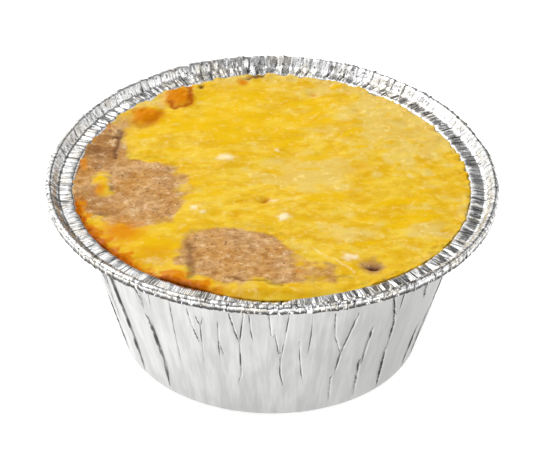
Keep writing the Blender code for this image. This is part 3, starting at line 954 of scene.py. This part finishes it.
def grain_tree(material):
    """Small uneven grains, half sunk in the filling where it shows."""
    tree, given = geometry_tree("grains", {
        "Density": ("Float", GRAIN_DENSITY), "Spacing": ("Float", GRAIN_SPACING * MM),
        "Smallest": ("Float", SMALLEST_GRAIN * MM), "Largest": ("Float", LARGEST_GRAIN * MM),
        "Seed": ("Int", 4)})
    where = tree.add("GeometryNodeInputNamedAttribute", {"data_type": "FLOAT"}, {"Name": "open"})
    points = tree.add("GeometryNodeDistributePointsOnFaces", {"distribute_method": "POISSON"}, {
        "Mesh": given["Geometry"], "Distance Min": given["Spacing"], "Density Max": given["Density"],
        "Density Factor": tree.between(where, 0.8, 1.0), "Seed": given["Seed"]})
    grain = tree.add("GeometryNodeMeshIcoSphere", None, {"Radius": 1.0, "Subdivisions": 2})
    bumps = tree.noise(tree.add("GeometryNodeInputPosition"), 1.4, 1.0) * 0.8 + 0.6
    lumpy = tree.scaled(tree.add("GeometryNodeInputPosition"), bumps)
    grain = tree.add("GeometryNodeSetPosition", None, {"Geometry": grain, "Position": lumpy})
    size = tree.add("FunctionNodeRandomValue", {"data_type": "FLOAT"}, {
        2: given["Smallest"], 3: given["Largest"], "Seed": 5}, 1)
    stretch = tree.add("FunctionNodeRandomValue", {"data_type": "FLOAT_VECTOR"}, {
        0: (0.7, 0.7, 0.45), 1: (1.5, 1.1, 0.8), "Seed": 6})
    turned = tree.add("FunctionNodeRandomValue", {"data_type": "FLOAT_VECTOR"}, {
        0: (-0.4, -0.4, 0.0), 1: (0.4, 0.4, 2 * pi), "Seed": 7})
    placed = tree.add("GeometryNodeInstanceOnPoints", None, {
        "Points": points, "Instance": grain, "Scale": tree.scaled(stretch, size),
        "Rotation": tree.add("FunctionNodeEulerToRotation", None, {0: turned})})
    shade = tree.add("FunctionNodeRandomValue", {"data_type": "FLOAT"}, {2: 0.0, 3: 1.0, "Seed": 8}, 1)
    toned = tree.add("GeometryNodeStoreNamedAttribute", {"data_type": "FLOAT", "domain": "INSTANCE"}, {
        "Geometry": placed, "Name": "shade", "Value": shade})
    smooth = tree.add("GeometryNodeSetShadeSmooth", None, {
        "Geometry": tree.add("GeometryNodeRealizeInstances", None, {0: toned})})
    close_tree(tree, smooth, material)
    return tree


def new_material(name, sockets):
    """A material, its tree and its shader, whose own sockets hold what is the same all over."""
    material = bpy.data.materials.new(name)
    material.use_nodes = True
    shader = material.node_tree.nodes["Principled BSDF"]
    for socket, value in sockets.items():
        shader.inputs[socket].default_value = value
    return material, Tree(material.node_tree), shader


def feed(tree, shader, **links):
    for name, value in links.items():
        tree.nodes.links.new(value.socket, shader.inputs[name.replace("_", " ")])


def linear(red, green, blue):
    """A screen colour from 0 to 255 as the linear colour that a shader takes."""
    parts = []
    for part in (red, green, blue):
        part = part / 255.0
        parts.append(part / 12.92 if part <= 0.04045 else ((part + 0.055) / 1.055) ** 2.4)
    return (*parts, 1.0)


def foil_material():
    """Bright foil, with painted light: the wall's streaky darker greys, darker to the right, and its dark
    creases are painted shade, with a painted highlight beside each crease; the rim's dark grooves, crinkles,
    crest pockets and hem bits are painted shade, and its warm patches painted reflection.
    """
    material, tree, shader = new_material("bright_foil", {"Metallic": 1.0})
    place = tree.add("ShaderNodeTexCoord", None, None, "Object")
    x, y, z = tree.split(place)
    out_x, out_y, _ = tree.split(tree.vector("NORMALIZE", tree.joined(x, y, 0.0)))

    def around(rise):
        """The way round the tray, and the height times a factor."""
        return tree.joined(out_x, out_y, z * rise)

    rim = tree.mark("rim")
    # Painted shade and painted reflection: the wall's greys, darker than the rim's bright foil, with streaks
    # that stand for the dents' reflections.
    strips = tree.noise(around(4.0), 16.0, 3.0, 0.55)
    scratches = tree.noise(around(2.0), 70.0)
    cloud = tree.noise(place, 60.0, 3.0)
    tone = tree.between(strips * 0.6 + scratches * 0.25 + cloud * 0.15, 0.36, 0.64)
    colour = tree.blend(tone, linear(187, 187, 186), linear(208, 208, 207))
    # Painted shade: the wall darker towards its right side.
    colour = tree.tint(colour, tree.between(out_x, 0.1, 0.9) * 0.6, 172, 172, 169)
    colour = tree.tint(colour, rim, 246, 246, 246)
    # Painted reflection: warm patches on the rim.
    colour = tree.tint(colour, tree.patches(place, 150.0, 0.50, 0.60, 3.0, 0.6) * rim * 0.45, 228, 216, 192)

    depth = tree.mark("crease_depth")
    offset = tree.mark("crease_offset")
    on_crease = tree.fading(tree.mark("crease_away"), 0.8, 1.1)
    lit_side = 1.0 - tree.maths("ABSOLUTE", offset - 0.34) / 0.24
    glint = tree.between(lit_side, 0.0, 0.7) * tree.between(depth, 0.3, 0.7) * on_crease * 0.5
    colour = tree.tint(colour, glint, 238, 238, 238)
    # Painted shade: dark lines along the creases, uneven in width and strength.
    uneven = tree.patches(tree.joined(x, y, z * 0.8), 210.0, 0.38, 0.62)
    width = (0.09 + 0.16 * depth * depth) * (0.45 + 0.95 * uneven)
    line = 1.0 - tree.maths("ABSOLUTE", offset) / width
    crease_shade = tree.between(line, 0.0, 0.6) * tree.between(depth, 0.02, 0.5) * on_crease
    colour = tree.tint(colour, crease_shade * (0.62 + 0.32 * uneven), 62, 62, 60)

    # Painted shade in the grooves between the pleats.
    colour = tree.tint(colour, tree.between(tree.mark("pleat_line"), 0.15, 0.75) * 0.9, 60, 60, 60)
    # Painted shade: dark crinkles on the rim.
    crinkle_shade = tree.patches(around(14.0), 62.0, 0.55, 0.62, 4.0, 0.7) * tree.between(rim, 0.1, 0.5)
    colour = tree.tint(colour, crinkle_shade * 0.85, 84, 81, 76)
    # Painted shade: dark pockets along the crest.
    crest_shade = tree.patches(around(12.0), 46.0, 0.50, 0.56, 3.0, 0.7) * tree.mark("crest")
    colour = tree.tint(colour, crest_shade * 0.35, 70, 69, 66)
    # Painted shade: dark bits along the hem's lower edge, strongest at the front.
    hem_shade = tree.patches(around(7.0), 52.0, 0.39, 0.45, 3.0, 0.7)
    hem_shade = hem_shade * (0.25 + 0.7 * tree.fading(out_y, -0.6, -0.05))
    colour = tree.tint(colour, hem_shade * tree.mark("hem"), 58, 57, 55)

    crinkle = tree.noise(around(9.0), 88.0, 3.0, 0.6) * rim
    height = scratches * 0.00002 + tree.noise(place, 420.0) * 0.00003 + crinkle * 0.0003
    bump = tree.add("ShaderNodeBump", None, {"Height": height, "Strength": 0.6, "Distance": 1.0})
    rough = 0.33 + scratches * 0.08 - rim * 0.18
    feed(tree, shader, Base_Color=colour, Roughness=rough, Normal=bump)
    return material


def food_material(name, coat):
    """Melted cheese and brown filling, told apart by the marks on the surface."""
    material, tree, shader = new_material(name, {
        "Subsurface Weight": 0.3, "Subsurface Radius": (0.9, 0.5, 0.15), "Subsurface Scale": 0.0008,
        "Specular IOR Level": 0.04, "Coat Roughness": 0.22})
    place = tree.add("ShaderNodeTexCoord", None, None, "Object")
    x, y, z = tree.split(place)
    fine = tree.noise(place, 1100.0, 3.0, 0.6)
    clumps = tree.noise(place, 430.0, 3.0, 0.65)
    mottle = tree.noise(tree.joined(x * 0.7 + y * 0.1, y - x * 0.12, z), 330.0, 4.0, 0.6)
    drawn_out = tree.noise(tree.joined(x * 0.6 + y * 0.1, y - x * 0.12, z), 170.0, 3.0, 0.55)
    warp = tree.vector("SUBTRACT", tree.noise(place, 420.0, output=1), (0.5, 0.5, 0.5))
    warped = tree.vector("ADD", tree.joined(x * 0.8 + y * 0.3, y, z), tree.scaled(warp, 0.0030))
    strands = tree.noise(warped, 620.0, 3.0, 0.6)
    brown = tree.mark("brown")
    pale = tree.mark("pale")

    def mottled(mark, share, low, high):
        """A mark with an edge broken up by the mottle."""
        return tree.between(mark + (mottle - 0.5) * share, low, high)

    cheese = tree.blend(tree.between(mottle, 0.35, 0.65), linear(228, 178, 20), linear(240, 202, 64))
    # Pale cheese, partly a painted broad highlight.
    cheese = tree.tint(cheese, mottled(pale, 0.8, 0.2, 0.9) * 0.9, 232, 200, 104)
    cheese = tree.tint(cheese, mottled(tree.mark("strong"), 0.8, 0.25, 0.75) * 0.95, 236, 188, 4)
    cheese = tree.tint(cheese, tree.between(drawn_out, 0.50, 0.66) * 0.28, 220, 164, 4)
    cheese = tree.tint(cheese, tree.fading(drawn_out, 0.34, 0.46) * 0.34, 246, 212, 80)
    curds = tree.patches(place, 560.0, 0.58, 0.68) * (0.22 + 0.4 * pale)
    cheese = tree.tint(cheese, curds, 250, 222, 136)
    dots = tree.fading(tree.noise(place, 390.0, 2.0, 0.6), 0.32, 0.40)
    cheese = tree.tint(cheese, dots * 0.25, 222, 164, 6)

    broad = tree.patches(place, 120.0, 0.38, 0.62)
    deep = tree.blend(broad, linear(186, 130, 62), linear(182, 136, 84))
    light = tree.blend(broad, linear(216, 168, 106), linear(222, 178, 124))
    grains = tree.blend(tree.between(fine * 0.2 + clumps * 0.45 + mottle * 0.35, 0.38, 0.62), deep, light)
    # Darker filling, partly painted shadow below the island.
    grains = tree.tint(grains, tree.mark("dark") * tree.between(mottle, 0.25, 0.6), 140, 94, 52)
    # Painted highlights on the filling's clumps.
    lit_flecks = tree.between(clumps * 0.6 + strands * 0.4, 0.55, 0.63)
    grains = tree.tint(grains, lit_flecks * 0.65, 236, 202, 158)
    grains = tree.tint(grains, tree.fading(clumps, 0.34, 0.42) * 0.35, 158, 108, 62)
    specks = tree.between(1.0 - tree.noise(place, 1150.0, 1.0), 0.66, 0.73)
    grains = tree.tint(grains, specks * 0.7, 118, 76, 36)

    colour = tree.blend(mottled(brown, 0.6, 0.15, 0.85), cheese, grains)
    # Cream curds and strands, partly painted highlights.
    cream = tree.between(tree.mark("cream") + (strands - 0.5) * 0.9, 0.12, 0.95)
    colour = tree.tint(colour, cream * 0.95, 252, 234, 188)
    colour = tree.tint(colour, mottled(tree.mark("orange"), 0.5, 0.15, 0.9), 220, 134, 0)
    colour = tree.tint(colour, tree.mark("crust"), 178, 88, 0)
    # Real char, and painted shadow at the gaps' borders and beside the island.
    colour = tree.tint(colour, tree.mark("char_and_shade"), 86, 42, 26)

    height = fine * 0.00003 + tree.noise(place, 240.0) * 0.00016 + brown * clumps * 0.00020
    bump = tree.add("ShaderNodeBump", None, {"Height": height, "Strength": 0.8, "Distance": 1.0})
    wet = tree.patches(place, 130.0, 0.48, 0.68, 3.0, 0.6) * coat
    rough = 0.36 + fine * 0.2 + brown * 0.14
    feed(tree, shader, Base_Color=colour, Roughness=rough, Normal=bump, Coat_Weight=wet)
    return material


def grain_material():
    material, tree, shader = new_material("filling_grains", {
        "Subsurface Weight": 0.15, "Subsurface Scale": 0.001})
    fine = tree.noise(tree.add("ShaderNodeTexCoord", None, None, "Object"), 1500.0)
    colour = tree.blend(tree.mark("shade"), linear(150, 100, 52), linear(222, 178, 122))
    colour = tree.tint(colour, fine * 0.5, 190, 138, 78)
    feed(tree, shader, Base_Color=colour, Roughness=0.45 + fine * 0.2)
    return material


# The camera, from the photo's proportions
LOOK_AT = (-0.95, -0.5, 32.98)
CAMERA_DISTANCE = 800.0
CAMERA_ELEVATION = radians(33.32)
CAMERA_ROLL = radians(-0.89)
FRAME_WIDTH = 536
FOCAL_PIXELS = 2863.1
SENSOR_WIDTH = 36.0

# The window light and the floor, in metres and watts
WINDOW_PLACE = (-0.75, 0.35, 0.95)
WINDOW_TARGET = (0.0, 0.0, 0.04)
WINDOW_SIZE = 0.9
WINDOW_POWER = 6.9
FLOOR_REACH = 3.0
FLOOR_GLOW = 0.58


def build_camera():
    camera = bpy.data.cameras.new("camera")
    camera.sensor_width = SENSOR_WIDTH
    camera.lens = FOCAL_PIXELS * SENSOR_WIDTH / FRAME_WIDTH
    item = bpy.data.objects.new("camera", camera)
    bpy.context.scene.collection.objects.link(item)
    back = Vector((0.0, -cos(CAMERA_ELEVATION), sin(CAMERA_ELEVATION)))
    right = Vector((1.0, 0.0, 0.0))
    up = back.cross(right)
    side = right * cos(CAMERA_ROLL) - up * sin(CAMERA_ROLL)
    head = right * sin(CAMERA_ROLL) + up * cos(CAMERA_ROLL)
    place = (Vector(LOOK_AT) + back * CAMERA_DISTANCE) * MM
    item.matrix_world = Matrix((
        (side.x, head.x, back.x, place.x), (side.y, head.y, back.y, place.y),
        (side.z, head.z, back.z, place.z), (0.0, 0.0, 0.0, 1.0)))
    bpy.context.scene.camera = item


def build_light():
    light = bpy.data.lights.new("window", "AREA")
    light.shape = "DISK"
    light.size = WINDOW_SIZE
    light.energy = WINDOW_POWER
    item = bpy.data.objects.new("window", light)
    bpy.context.scene.collection.objects.link(item)
    item.location = WINDOW_PLACE
    towards = Vector(WINDOW_TARGET) - item.location
    item.rotation_euler = towards.to_track_quat("-Z", "Y").to_euler()


def build_world():
    """Soft studio surroundings: bright behind to the left, above and to the right, dim low and in front."""
    world = bpy.data.worlds.new("studio")
    bpy.context.scene.world = world
    world.use_nodes = True
    tree = Tree(world.node_tree)
    direction = tree.add("ShaderNodeTexCoord", None, None, "Generated")
    x, y, z = tree.split(direction)
    clouds = tree.noise(direction, 3.2, 2.0, 0.6)
    lit_flecks = tree.patches(direction, 8.0, 0.45, 0.56, roughness=0.6)

    back_left = tree.fading(x, -0.045, 0.065) * tree.between(y, -0.25, 0.15) * tree.between(z, -0.06, 0.10)
    far_left = tree.fading(x, -0.52, -0.28) * 0.85 * tree.between(z, 0.10, 0.50)
    above = tree.between(z, 0.62, 0.82) * (0.22 + 0.63 * tree.fading(x, -0.08, 0.14))
    right = tree.between(x, 0.35, 0.60) * tree.between(z, 0.10, 0.30) * (0.72 + 0.60 * lit_flecks)
    right = right * (1.0 + 0.7 * tree.fading(y, -0.25, -0.02))
    strip = tree.between(x, 0.42, 0.52) * tree.between(y, -0.1, 0.3)
    strip = strip * (1.0 - tree.between(x, 0.66, 0.78) * (0.8 - 0.8 * lit_flecks))
    strip = strip * tree.between(z, 0.02, 0.16) * tree.fading(z, 0.5, 0.7)
    glow = back_left
    for lit in (far_left, above, right, strip):
        glow = tree.maths("MAXIMUM", glow, lit)
    glow = glow * (0.55 + 0.9 * tree.between(clouds, 0.38, 0.60)) + 0.22 * tree.between(clouds, 0.54, 0.66)
    glow = glow * (0.45 + 0.70 * tree.patches(direction, 10.0, 0.42, 0.56, roughness=0.6))
    background = world.node_tree.nodes["Background"]
    background.inputs["Color"].default_value = (1.0, 1.0, 1.0, 1.0)
    world.node_tree.links.new((0.12 + 1.05 * glow).socket, background.inputs["Strength"])


def build_floor():
    reach = FLOOR_REACH
    corners = [(-reach, -reach, 0.0), (reach, -reach, 0.0), (reach, reach, 0.0), (-reach, reach, 0.0)]
    mesh = point_mesh("floor", corners, faces=[(0, 1, 2, 3)])
    floor = shown("floor", mesh)
    material, _, _ = new_material("pale_floor", {
        "Base Color": (0.9, 0.9, 0.9, 1.0), "Roughness": 0.9, "Specular IOR Level": 0.0,
        "Emission Color": (1.0, 1.0, 1.0, 1.0), "Emission Strength": FLOOR_GLOW})
    mesh.materials.append(material)


def main():
    bpy.context.scene.view_settings.view_transform = "Standard"
    build_camera()
    build_light()
    build_world()
    build_floor()
    tray = build_tray(foil_material())
    food = Food()
    topping = build_topping(food, food_material("baked_cheese", 0.30))
    filling = build_filling(food, food_material("brown_filling", 0.10))
    grains = grown("filling_grains", filling, grain_tree(grain_material()), {})
    for piece, node, slot in (
            (tray, "tray", "foil"), (topping, "topping", "topping"), (filling, "filling", "filling")):
        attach(piece, "root")
        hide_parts(node)
    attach(grains, "root")


main()
